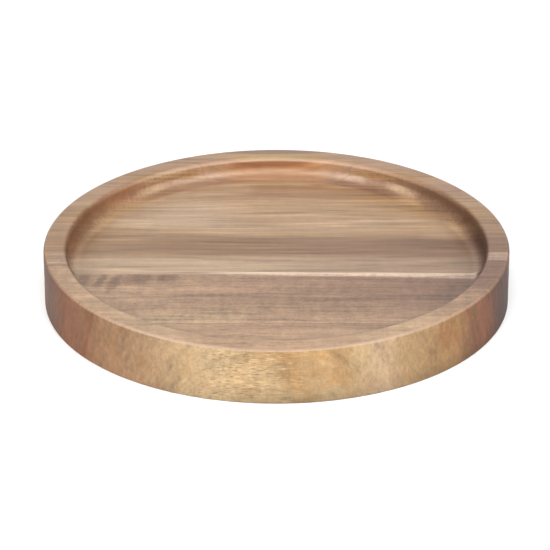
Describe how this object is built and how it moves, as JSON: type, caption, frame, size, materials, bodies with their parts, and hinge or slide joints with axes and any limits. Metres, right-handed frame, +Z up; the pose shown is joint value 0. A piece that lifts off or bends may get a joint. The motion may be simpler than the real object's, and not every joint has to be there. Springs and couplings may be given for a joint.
{
  "type": "wooden plate",
  "caption": "Round flat-bottomed wooden plate with a raised square rim and a coved recess, turned from edge-glued acacia staves with an oiled satin finish.",
  "frame": {"origin": "centre of the flat base, on the surface that the plate stands on", "axes": "+Z up out of the recess, +X along the grain to the viewer's right, +Y across the staves towards the back"},
  "size_m": [0.2, 0.2, 0.025],
  "materials": {
    "acacia_tan_flat_sawn": "oiled satin",
    "acacia_pinkish_curly": "oiled satin",
    "acacia_banded_heartwood": "oiled satin",
    "acacia_light_straight": "oiled satin",
    "acacia_reddish_straight": "oiled satin",
    "cured_glue": "flush sanded"
  },
  "bodies": {
    "root": {"stave_5": "acacia_tan_flat_sawn", "stave_4": "acacia_pinkish_curly", "stave_3": "acacia_banded_heartwood", "stave_2": "acacia_light_straight", "stave_1": "acacia_reddish_straight", "glue_joint_4": "cured_glue", "glue_joint_3": "cured_glue", "glue_joint_2": "cured_glue", "glue_joint_1": "cured_glue"}
  },
  "joints": []
}
